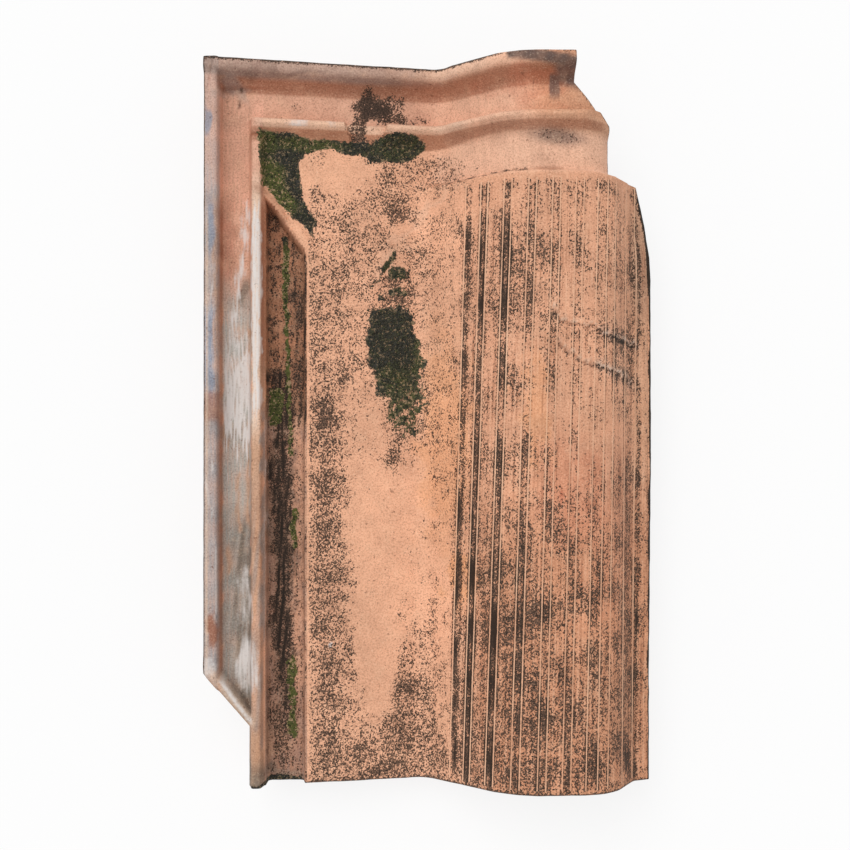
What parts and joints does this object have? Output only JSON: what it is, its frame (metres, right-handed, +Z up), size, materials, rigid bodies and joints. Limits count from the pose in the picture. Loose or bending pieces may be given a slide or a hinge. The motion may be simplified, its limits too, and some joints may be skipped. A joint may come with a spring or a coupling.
{
  "type": "interlocking clay roof tile",
  "caption": "Interlocking fired clay roof tile with a sloping pan, a tall combed roll, a double rib lock along its side and head, and hanging lugs below.",
  "frame": {"origin": "centre of the tile's outline, on the level that its lugs and foot rib rest on", "axes": "+X from the side lock to the roll, +Y from the foot to the head, +Z up through the weather face"},
  "size_m": [0.265, 0.43, 0.0765],
  "materials": {
    "fired_clay": "matt weathered terracotta with lichen, moss and lime bloom"
  },
  "bodies": {
    "root": {"roof_tile": "fired_clay"}
  },
  "joints": []
}
